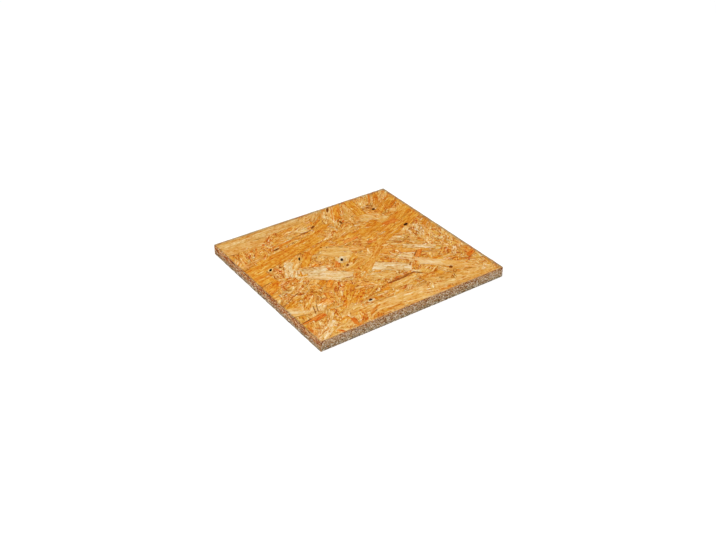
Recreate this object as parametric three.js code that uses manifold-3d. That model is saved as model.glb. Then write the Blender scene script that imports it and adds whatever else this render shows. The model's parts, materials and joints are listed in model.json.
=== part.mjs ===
// Oriented strand board: one square-sawn panel of pressed wood strands.
// Millimetres, +Z up. X runs along the longer side and Y along the shorter one; the origin is the
// centre of the underside. Plan places in the lists below are measured from the front left corner.
import * as THREE from 'three';
import { mergeVertices } from 'three/addons/utils/BufferGeometryUtils.js';
import Module from 'manifold-3d';

// The panel
const LENGTH = 280;
const WIDTH = 262;
const THICKNESS = 15;
const CORNER_RADIUS = 1.2; // upright corners, worn round by handling
const ARRIS = 0.35; // the saw's arris, broken all round both faces
const SAW_ALLOWANCE = 6; // how far the pressed mat runs past the saw cuts

// The strands that show on both faces
const STRAND_THICKNESS = 0.8;
const PROUD_SHARE = 0.1; // how far a pressed strand stands off the one below, as a share of its thickness
const LEVEL_STEP = PROUD_SHARE * STRAND_THICKNESS;
const LEVELS = 5; // steps from the core, seen in the deepest gaps, up to the plane of the face
const RELIEF = LEVELS * LEVEL_STEP;
const FLUSH = LEVELS + 1; // a strand laid this high is pressed flat into the plane of the face
const STRAND_LENGTH = { min: 55, max: 120 };
const STRAND_WIDTH = { min: 9, max: 22 };
const END_SLANT = 0.55; // how far an end runs off square, as a share of the strand's width
const END_SPLIT = 0.35; // depth of the broken notch in an end, as a share of the width
const TAPER = 0.16; // how much narrower the far end is, as a share of the width
const LAY_PITCH = 44; // from one laid strand to the next along X
const LAY_ROW = 34; // from one row of laid strands to the next along Y
const LAY_JITTER = 0.5; // how far a strand strays from its place, as a share of the pitch
const LAY_ANGLE = 32; // the strands' main direction, in degrees from X
const LAY_SCATTER = 42; // how far a strand turns from it to either side, in degrees
const FACE_SEED = 11;
const UNDERSIDE_SEED = 29;

// Large strands of the top face, laid last, in plan from the front left corner
const FACE_STRANDS = [
  { x: 58, y: 252, angle: 2, length: 134, width: 22, level: 4 },
  { x: 62, y: 183, angle: 13, length: 150, width: 21, level: FLUSH },
  { x: 50, y: 148, angle: 58, length: 42, width: 15, level: 3 },
  { x: 118, y: 212, angle: 26, length: 96, width: 20, level: 3 },
  { x: 80, y: 113, angle: -40, length: 64, width: 19, level: 4 },
  { x: 22, y: 64, angle: -4, length: 58, width: 18, level: 2 },
  { x: 18, y: 41, angle: 8, length: 33, width: 10, level: 4 },
  { x: 84, y: 62, angle: 50, length: 84, width: 20, level: 3 },
  { x: 124, y: 18, angle: -4, length: 132, width: 24, level: FLUSH },
  { x: 222, y: 14, angle: -14, length: 96, width: 20, level: 4 },
  { x: 154, y: 52, angle: 4, length: 54, width: 12, level: 2 },
  { x: 166, y: 84, angle: -43, length: 58, width: 19, level: 3 },
  { x: 218, y: 62, angle: -48, length: 74, width: 14, level: FLUSH },
  { x: 210, y: 88, angle: 50, length: 17, width: 9, level: 1 },
  { x: 236, y: 104, angle: -28, length: 74, width: 15, level: 3 },
  { x: 142, y: 130, angle: -52, length: 52, width: 16, level: FLUSH },
  { x: 166, y: 122, angle: 37, length: 96, width: 12, level: 4 },
  { x: 232, y: 160, angle: 22, length: 126, width: 17, level: FLUSH },
  { x: 244, y: 184, angle: 25, length: 92, width: 18, level: 3 },
  { x: 156, y: 170, angle: 6, length: 62, width: 12, level: 2 },
  { x: 184, y: 242, angle: 61, length: 62, width: 11, level: 4 },
  { x: 222, y: 238, angle: 60, length: 64, width: 24, level: 2 },
  { x: 246, y: 246, angle: 58, length: 50, width: 10, level: FLUSH },
];

// Large strands of the underside, seen through the panel from above
const UNDERSIDE_STRANDS = [
  { x: 140, y: 131, angle: 24, length: 118, width: 24, level: FLUSH },
  { x: 48, y: 44, angle: 40, length: 96, width: 20, level: FLUSH },
  { x: 226, y: 52, angle: 14, length: 104, width: 18, level: FLUSH },
  { x: 56, y: 216, angle: 8, length: 110, width: 21, level: FLUSH },
  { x: 230, y: 208, angle: 52, length: 92, width: 22, level: FLUSH },
  { x: 132, y: 64, angle: -36, length: 70, width: 17, level: 4 },
  { x: 150, y: 226, angle: 30, length: 88, width: 16, level: 4 },
];

// Knots that fell out, and gaps that no strand covers, in the top face
const PITS = [
  { x: 30, y: 164, angle: 45, length: 7, width: 3.4, depth: 2.4 },
  { x: 74.5, y: 166, angle: 60, length: 8, width: 2.6, depth: 1.8 },
  { x: 62, y: 203, angle: 12, length: 9, width: 2.6, depth: 1.2 },
  { x: 119, y: 133, angle: 62, length: 7, width: 4, depth: 2 },
  { x: 118, y: 118, angle: 20, length: 4, width: 3, depth: 1.2 },
  { x: 243, y: 159, angle: 18, length: 8, width: 4, depth: 2.4 },
  { x: 97, y: 37, angle: 12, length: 5.5, width: 3.6, depth: 2.2 },
  { x: 231, y: 219, angle: 30, length: 4.6, width: 4, depth: 1.8 },
  { x: 172, y: 214, angle: 80, length: 8, width: 3, depth: 1.4 },
  { x: 133, y: 225, angle: 35, length: 8, width: 2.6, depth: 1.2 },
  { x: 176, y: 254, angle: 56, length: 11, width: 2.6, depth: 1.4 },
  { x: 225, y: 39, angle: 40, length: 5, width: 4, depth: 1.4 },
];

// Voids between the strands, opened by the saw in the four edges
const EDGE_VOID_PITCH = 23;
const EDGE_VOID_LENGTH = { min: 4, max: 13 };
const EDGE_VOID_HEIGHT = { min: 0.5, max: 1.3 };
const EDGE_VOID_REACH = 2.6; // how deep a void runs into the edge
const EDGE_VOID_MARGIN = 2.2; // solid wood kept between a void and either face
const EDGE_SEED = 47;

// A corner knocked off at the front right, through the top face
const CHIP_RADIUS = 3.6;
const CHIP_BITE = 1.9; // how far the chip runs in from the corner along each edge

const ROUND_SEGMENTS = 12;
const ROUND_RINGS = 6;
const CORNER_SEGMENTS = 4;

const wasm = await Module();
wasm.setup();

const random = THREE.MathUtils.seededRandom;

function between(range) {
  return THREE.MathUtils.lerp(range.min, range.max, random());
}

function toSolid(geometry) {
  const bare = geometry.clone();
  bare.deleteAttribute('normal');
  bare.deleteAttribute('uv');
  const merged = mergeVertices(bare);
  return new wasm.Manifold(new wasm.Mesh({
    numProp: 3,
    vertProperties: merged.attributes.position.array,
    triVerts: new Uint32Array(merged.index.array),
  }));
}

function toGeometry(solid) {
  const mesh = solid.getMesh();
  const geometry = new THREE.BufferGeometry();
  geometry.setAttribute('position', new THREE.BufferAttribute(mesh.vertProperties, 3));
  geometry.setIndex(new THREE.BufferAttribute(mesh.triVerts, 1));
  geometry.computeVertexNormals();
  return geometry;
}

// The panel's outline and thickness as the saw and the press leave them
function makeBlank() {
  const halfLength = LENGTH / 2;
  const halfWidth = WIDTH / 2;
  const outline = new THREE.Shape();
  outline.moveTo(-halfLength + CORNER_RADIUS, -halfWidth);
  outline.lineTo(halfLength - CORNER_RADIUS, -halfWidth);
  outline.absarc(halfLength - CORNER_RADIUS, -halfWidth + CORNER_RADIUS, CORNER_RADIUS, -Math.PI / 2, 0);
  outline.lineTo(halfLength, halfWidth - CORNER_RADIUS);
  outline.absarc(halfLength - CORNER_RADIUS, halfWidth - CORNER_RADIUS, CORNER_RADIUS, 0, Math.PI / 2);
  outline.lineTo(-halfLength + CORNER_RADIUS, halfWidth);
  outline.absarc(-halfLength + CORNER_RADIUS, halfWidth - CORNER_RADIUS, CORNER_RADIUS, Math.PI / 2, Math.PI);
  outline.lineTo(-halfLength, -halfWidth + CORNER_RADIUS);
  outline.absarc(-halfLength + CORNER_RADIUS, -halfWidth + CORNER_RADIUS, CORNER_RADIUS,
    Math.PI, 3 * Math.PI / 2);
  const blank = new THREE.ExtrudeGeometry(outline, {
    depth: THICKNESS - 2 * ARRIS,
    curveSegments: CORNER_SEGMENTS,
    bevelThickness: ARRIS,
    bevelSize: ARRIS,
    bevelOffset: -ARRIS,
    bevelSegments: 1,
  });
  return toSolid(blank.translate(0, 0, ARRIS));
}

// The mat under the strands that show: what lies in the lowest gaps of both faces
function makeCore() {
  const core = new THREE.BoxGeometry(
    LENGTH + 2 * SAW_ALLOWANCE,
    WIDTH + 2 * SAW_ALLOWANCE,
    THICKNESS - 2 * RELIEF,
  );
  return toSolid(core.translate(0, 0, THICKNESS / 2));
}

// One strand's outline, centred, along X: long straight sides with a taper, ends broken aslant
function strandOutline({ length, width }) {
  const near = width / 2;
  const far = near * (1 - TAPER);
  const slant = END_SLANT * width;
  const split = END_SPLIT * width;
  const end = length / 2;
  return new THREE.Shape([
    new THREE.Vector2(-end, -near),
    new THREE.Vector2(end - slant, -far),
    new THREE.Vector2(end - split, 0),
    new THREE.Vector2(end, far),
    new THREE.Vector2(-end + slant, near),
    new THREE.Vector2(-end + split, near - split),
  ]);
}

// A strand laid on the top face (side 1) or the underside (side -1): it is pressed its own thickness
// deep into the core and stands as many steps off the core as its level says
function layStrand(strand, side) {
  const depth = STRAND_THICKNESS + strand.level * LEVEL_STEP;
  const geometry = new THREE.ExtrudeGeometry(strandOutline(strand), { depth, bevelEnabled: false });
  const root = side > 0 ? THICKNESS - RELIEF - STRAND_THICKNESS : RELIEF + STRAND_THICKNESS - depth;
  geometry.rotateZ(THREE.MathUtils.degToRad(strand.angle));
  geometry.translate(strand.x - LENGTH / 2, strand.y - WIDTH / 2, root);
  return toSolid(geometry);
}

// The strands scattered over a face, in rows with every other row set over by half a pitch
function scatterStrands(seed) {
  random(seed);
  const strands = [];
  const rows = Math.ceil(WIDTH / LAY_ROW);
  const columns = Math.ceil(LENGTH / LAY_PITCH);
  for (let row = 0; row <= rows; row += 1) {
    for (let column = 0; column <= columns; column += 1) {
      const offset = (row % 2) / 2;
      strands.push({
        x: (column + offset + random() * LAY_JITTER) * LAY_PITCH,
        y: (row + random() * LAY_JITTER) * LAY_ROW,
        angle: LAY_ANGLE + LAY_SCATTER * (2 * random() - 1),
        length: between(STRAND_LENGTH),
        width: between(STRAND_WIDTH),
        level: 1 + Math.floor(random() * (LEVELS - 1)),
      });
    }
  }
  return strands;
}

function layFace(seed, largeStrands, side) {
  return [...scatterStrands(seed), ...largeStrands].map((strand) => layStrand(strand, side));
}

function roundSolid(x, y, z) {
  const geometry = new THREE.SphereGeometry(1, ROUND_SEGMENTS, ROUND_RINGS);
  return geometry.scale(x, y, z);
}

// An oval dish in the top face
function makePit({ x, y, angle, length, width, depth }) {
  const geometry = roundSolid(length / 2, width / 2, depth);
  geometry.rotateZ(THREE.MathUtils.degToRad(angle));
  geometry.translate(x - LENGTH / 2, y - WIDTH / 2, THICKNESS);
  return toSolid(geometry);
}

// The voids of one sawn edge, spread along it and clear of its ends and its middle
function makeEdgeVoids(edgeLength, distance, turn) {
  const voids = [];
  const pairs = Math.floor((edgeLength / 2 - EDGE_VOID_LENGTH.max) / EDGE_VOID_PITCH);
  for (const direction of [-1, 1]) {
    for (let step = 0; step < pairs; step += 1) {
      const along = direction * (step + 1 - random() / 2) * EDGE_VOID_PITCH;
      const length = between(EDGE_VOID_LENGTH);
      const height = between(EDGE_VOID_HEIGHT);
      const z = THREE.MathUtils.lerp(EDGE_VOID_MARGIN, THICKNESS - EDGE_VOID_MARGIN, random());
      const geometry = roundSolid(length / 2, EDGE_VOID_REACH, height / 2);
      geometry.translate(along, -distance, z);
      geometry.rotateZ(turn);
      voids.push(toSolid(geometry));
    }
  }
  return voids;
}

function makeAllEdgeVoids() {
  random(EDGE_SEED);
  return [
    ...makeEdgeVoids(LENGTH, WIDTH / 2, 0),
    ...makeEdgeVoids(WIDTH, LENGTH / 2, Math.PI / 2),
    ...makeEdgeVoids(LENGTH, WIDTH / 2, Math.PI),
    ...makeEdgeVoids(WIDTH, LENGTH / 2, -Math.PI / 2),
  ];
}

// The knocked-off corner: a ball that passes through both edges just in from the corner
function makeChip() {
  const geometry = roundSolid(CHIP_RADIUS, CHIP_RADIUS, CHIP_RADIUS);
  const reach = CHIP_RADIUS - CHIP_BITE;
  geometry.translate(LENGTH / 2 + reach, -WIDTH / 2 - reach, THICKNESS);
  return toSolid(geometry);
}

function makePanel() {
  const mat = wasm.Manifold.union([
    makeCore(),
    ...layFace(FACE_SEED, FACE_STRANDS, 1),
    ...layFace(UNDERSIDE_SEED, UNDERSIDE_STRANDS, -1),
  ]);
  const sawn = mat.intersect(makeBlank());
  const hollows = wasm.Manifold.union([...PITS.map(makePit), ...makeAllEdgeVoids(), makeChip()]);
  return toGeometry(sawn.subtract(hollows));
}

const board = new THREE.Mesh(
  makePanel(),
  new THREE.MeshStandardMaterial({ color: 0xd9a05a, roughness: 0.72, metalness: 0 }),
);
board.name = 'osb_panel';

const panel = new THREE.Group();
panel.add(board);

export default panel;
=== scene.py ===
"""Oriented strand board panel: pressed wood strands on both faces and four sawn edges."""

import json
import math
import random
from collections import namedtuple

import bpy
import numpy as np
from bpy.props import FloatProperty, FloatVectorProperty, IntProperty, PointerProperty
from mathutils import Matrix, Vector

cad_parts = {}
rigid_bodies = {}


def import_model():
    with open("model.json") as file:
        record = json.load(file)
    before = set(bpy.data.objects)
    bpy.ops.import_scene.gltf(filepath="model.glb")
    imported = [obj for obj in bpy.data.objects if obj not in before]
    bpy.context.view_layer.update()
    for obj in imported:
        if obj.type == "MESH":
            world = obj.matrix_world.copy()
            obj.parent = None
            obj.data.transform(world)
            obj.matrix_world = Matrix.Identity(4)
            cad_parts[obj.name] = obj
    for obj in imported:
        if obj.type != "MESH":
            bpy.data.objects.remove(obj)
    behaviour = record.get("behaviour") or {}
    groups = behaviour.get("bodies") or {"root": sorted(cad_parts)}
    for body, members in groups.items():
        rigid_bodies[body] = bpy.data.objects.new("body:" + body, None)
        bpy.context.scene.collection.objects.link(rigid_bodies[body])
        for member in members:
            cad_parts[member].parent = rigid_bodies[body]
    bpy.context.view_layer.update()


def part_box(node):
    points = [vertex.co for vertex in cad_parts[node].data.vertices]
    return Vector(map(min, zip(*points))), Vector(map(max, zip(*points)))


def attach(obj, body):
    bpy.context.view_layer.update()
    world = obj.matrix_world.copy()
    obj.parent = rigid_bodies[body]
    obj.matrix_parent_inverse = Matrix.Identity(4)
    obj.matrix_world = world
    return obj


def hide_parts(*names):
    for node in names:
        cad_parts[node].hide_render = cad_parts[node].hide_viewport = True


bl_info = {
    "name": "Oriented Strand Board Panel",
    "version": (1, 0, 0),
    "blender": (4, 5, 0),
    "location": "3D View > Sidebar > Strand Board",
    "description": "Lays, presses and saws a panel of oriented strand board around its packed frame",
    "category": "Add Mesh",
}

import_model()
NODE = "osb_panel"
BODY = "root"

MM = 0.001
LOW, HIGH = (Vector(corner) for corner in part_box(NODE))
LENGTH, WIDTH, THICKNESS = HIGH - LOW

# Material places, the same on every mesh that is joined into the board
STRAND_WOOD, SAWN_WOOD, OPEN_GRAIN = range(3)

GRAIN_MAP = "Grain"  # along and across the grain, in metres, shifted for every strand
RIM_MAP = "Rim"  # u: 0 on a piece's outline and 1 inside it; v: -1 to 1 across a hollow
FLAT_MAP = "OFBake"  # the whole board laid out flat in one map
TINT = "Tint"  # the piece's own wood colour
LOOK = "Look"  # red: growth-ring contrast, green: chance value, blue: share of curly grain


def linear(hex_colour):
    """An sRGB hex colour as linear red, green, blue and alpha."""
    value = int(hex_colour.lstrip("#"), 16)
    channels = ((value >> shift & 255) / 255 for shift in (16, 8, 0))
    return tuple(c / 12.92 if c <= 0.04045 else ((c + 0.055) / 1.055) ** 2.4 for c in channels) + (1.0,)


def colour_property(name, description, hex_colour):
    return FloatVectorProperty(
        name=name,
        description=description,
        subtype="COLOR",
        size=4,
        min=0.0,
        max=1.0,
        default=linear(hex_colour),
    )


def length_property(name, description, millimetres):
    return FloatProperty(
        name=name,
        description=description,
        default=millimetres * MM,
        min=0.0,
        subtype="DISTANCE",
        unit="LENGTH",
        precision=5,
    )


def angle_property(name, description, degrees):
    return FloatProperty(name=name, description=description, default=math.radians(degrees), subtype="ANGLE")


class StrandBoardSizes(bpy.types.PropertyGroup):
    """How the strands are cut, laid and pressed, and how rough the saw leaves the edges."""

    relief: length_property("Relief", "From the flat of a face down to its deepest gap", 0.4)
    tilt: angle_property("Tilt", "How far a pressed strand may lie off level, end to end", 0.1)
    roll: angle_property("Roll", "How far a pressed strand may lie off level, side to side", 0.4)
    lay_angle: angle_property("Lay angle", "Main direction of the strands, from the longer side", 32)
    lay_scatter: angle_property("Lay scatter", "How far strands turn from it, to either side", 48)
    face_seed: IntProperty(name="Face seed", description="Chance lay of the top face", default=11)
    underside_seed: IntProperty(name="Underside seed", description="Chance lay of the underside", default=29)
    chip_lean: angle_property("Chip lean", "How far a chip may lie off level, side to side", 9)
    edge_seed: IntProperty(name="Edge seed", description="Chance section at the saw cuts", default=47)
    edge_relief: length_property("Edge relief", "Depth of the saw's roughness in the edges", 0.22)
    layer_pitch: length_property("Layer pitch", "From layer to layer in the sawn section", 1.15)
    arris: length_property("Arris", "Width of the broken arris round both faces", 0.2)
    corner_radius: length_property("Corner radius", "Upright corners, worn round", 1.2)


class StrandBoardColours(bpy.types.PropertyGroup):
    """The wood colours that the strands are dealt from, those of the cut and open wood, and the painted shade
    of crevices, hollows, arrises and the foot of the edges.
    """

    pale: colour_property("Pale", "Clean sapwood strands", "#ECCB94")
    milk: colour_property("Milk", "The whitest sapwood strands", "#EACF9F")
    cream: colour_property("Cream", "Light sapwood strands", "#E8BC72")
    straw: colour_property("Straw", "Light strands", "#E6B668")
    tan: colour_property("Tan", "Smooth, slightly greyed strands", "#DEAE64")
    honey: colour_property("Honey", "Ordinary strands", "#E2A84D")
    amber: colour_property("Amber", "Deep golden strands, rich in resin", "#E1A138")
    rust: colour_property("Rust", "Orange-brown heartwood", "#E08F29")
    ember: colour_property("Ember", "The darkest heartwood", "#DC8328")
    brown: colour_property("Brown", "Dark heartwood and bark stain", "#AE681E")
    bark: colour_property("Bark", "Slivers of bark, and shallow gaps", "#8A4A10")
    # Painted shade where one strand dips under another, and at the rim of hollows
    crevice: colour_property("Crevice", "Where one strand dips under another", "#6E3A08")
    # Painted shade at the bottom of deep knots and gaps, in the left edge's long gaps and in pores
    void: colour_property("Void", "The bottom of knots and open gaps", "#2C0D00")
    sawn_light: colour_property("Sawn light", "Light strands in the sawn edges", "#F4D29C")
    sawn_dark: colour_property("Sawn dark", "Dark strands in the sawn edges", "#7F5C3C")
    sawn_warm: colour_property("Sawn warm", "Side grain and resin-rich outer layers, sawn", "#CB8127")
    # Greyer towards the foot of the sawn edges
    dust: colour_property("Dust", "Dust at the foot of the sawn edges", "#A89F7C")
    # Painted shade along the far arrises of the top, and a painted contact shadow at the foot of the edges
    grime: colour_property("Grime", "Scuffed and dirty rims", "#8A7F66")
    blush: colour_property("Blush", "Pinkish sapwood", "#EDB184")
    sallow: colour_property("Sallow", "Greenish sapwood", "#D8B85E")


class StageSettings(bpy.types.PropertyGroup):
    """Floor, lamps and the camera's place."""

    floor_size: FloatProperty(name="Floor size", description="Side of the floor", default=14.0, unit="LENGTH")
    floor_colour: colour_property("Floor colour", "Plain white paper", "#F4F4F4")
    daylight: FloatProperty(name="Daylight", description="Soft light from all round", default=0.46)
    camera_place: FloatVectorProperty(
        name="Camera place",
        description="Where the camera stands",
        subtype="TRANSLATION",
        default=(-0.6065, -0.8773, 0.6806),
    )
    camera_turn: FloatVectorProperty(
        name="Camera turn",
        description="The camera's rotation",
        subtype="EULER",
        default=(math.radians(57.164), 0.0, math.radians(-34.806)),
    )
    focal_length: FloatProperty(name="Focal length", description="In millimetres", default=48.25)


def tabled(kind, *rows):
    """Rows of values as a tuple of one kind of record."""
    return tuple(kind(*row) for row in rows)


def side_matrix(place, along, up):
    """The frame of one side of the board: along it, up it and out of it."""
    turn = Matrix((along, up, along.cross(up))).transposed().to_4x4()
    return Matrix.Translation(place) @ turn


X_AXIS, Y_AXIS, Z_AXIS = Vector((1, 0, 0)), Vector((0, 1, 0)), Vector((0, 0, 1))
TOP = side_matrix(Vector((LOW.x, LOW.y, HIGH.z)), X_AXIS, Y_AXIS)
UNDER = side_matrix(Vector((LOW.x, HIGH.y, LOW.z)), X_AXIS, -Y_AXIS)

# How each family of blanks is cut before it is laid: real sizes in millimetres. Side points and end
# points set how many corners the outline has; waver, split and taper are shares of the half width.
Cut = namedtuple(
    "Cut", "seed length width thickness side_points end_points waver split taper rag slant rim worn"
)
CUTS = {
    "broad": Cut(3, 90, 15, 0.8, 6, 4, 0.06, 0.12, 0.0, 1.8, 4.0, 0.8, 0.08),
    "chip": Cut(5, 14, 2.0, 0.6, 3, 1, 0.15, 0.20, 0.7, 0.8, 0.5, 0.3, 0.06),
    "collar": Cut(9, 16, 16, 0.8, 5, 2, 0.12, 0.0, 0.55, 0.8, 0.5, 0.5, 0.04),
    "fleck": Cut(13, 20, 10, 0.8, 4, 2, 0.18, 0.12, 0.3, 1.4, 2.0, 0.7, 0.08),
    "section": Cut(7, 10, 1.0, 0.9, 3, 1, 0.20, 0.20, 0.6, 0.3, 0.2, 0.0, 0.0),
}
BLANKS_PER_CUT = 8
SPLIT_REACH = 0.9  # how near a strand's end a split may start, as a share of its half length
TAPER_POWER, SLANT_POWER = 3, 4  # how close to its ends a strand narrows and is cut askew

LONGEST_FLECK = 34  # listed strands that are shorter are torn all round

Blank = namedtuple("Blank", "mesh cut spots rims")
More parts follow.
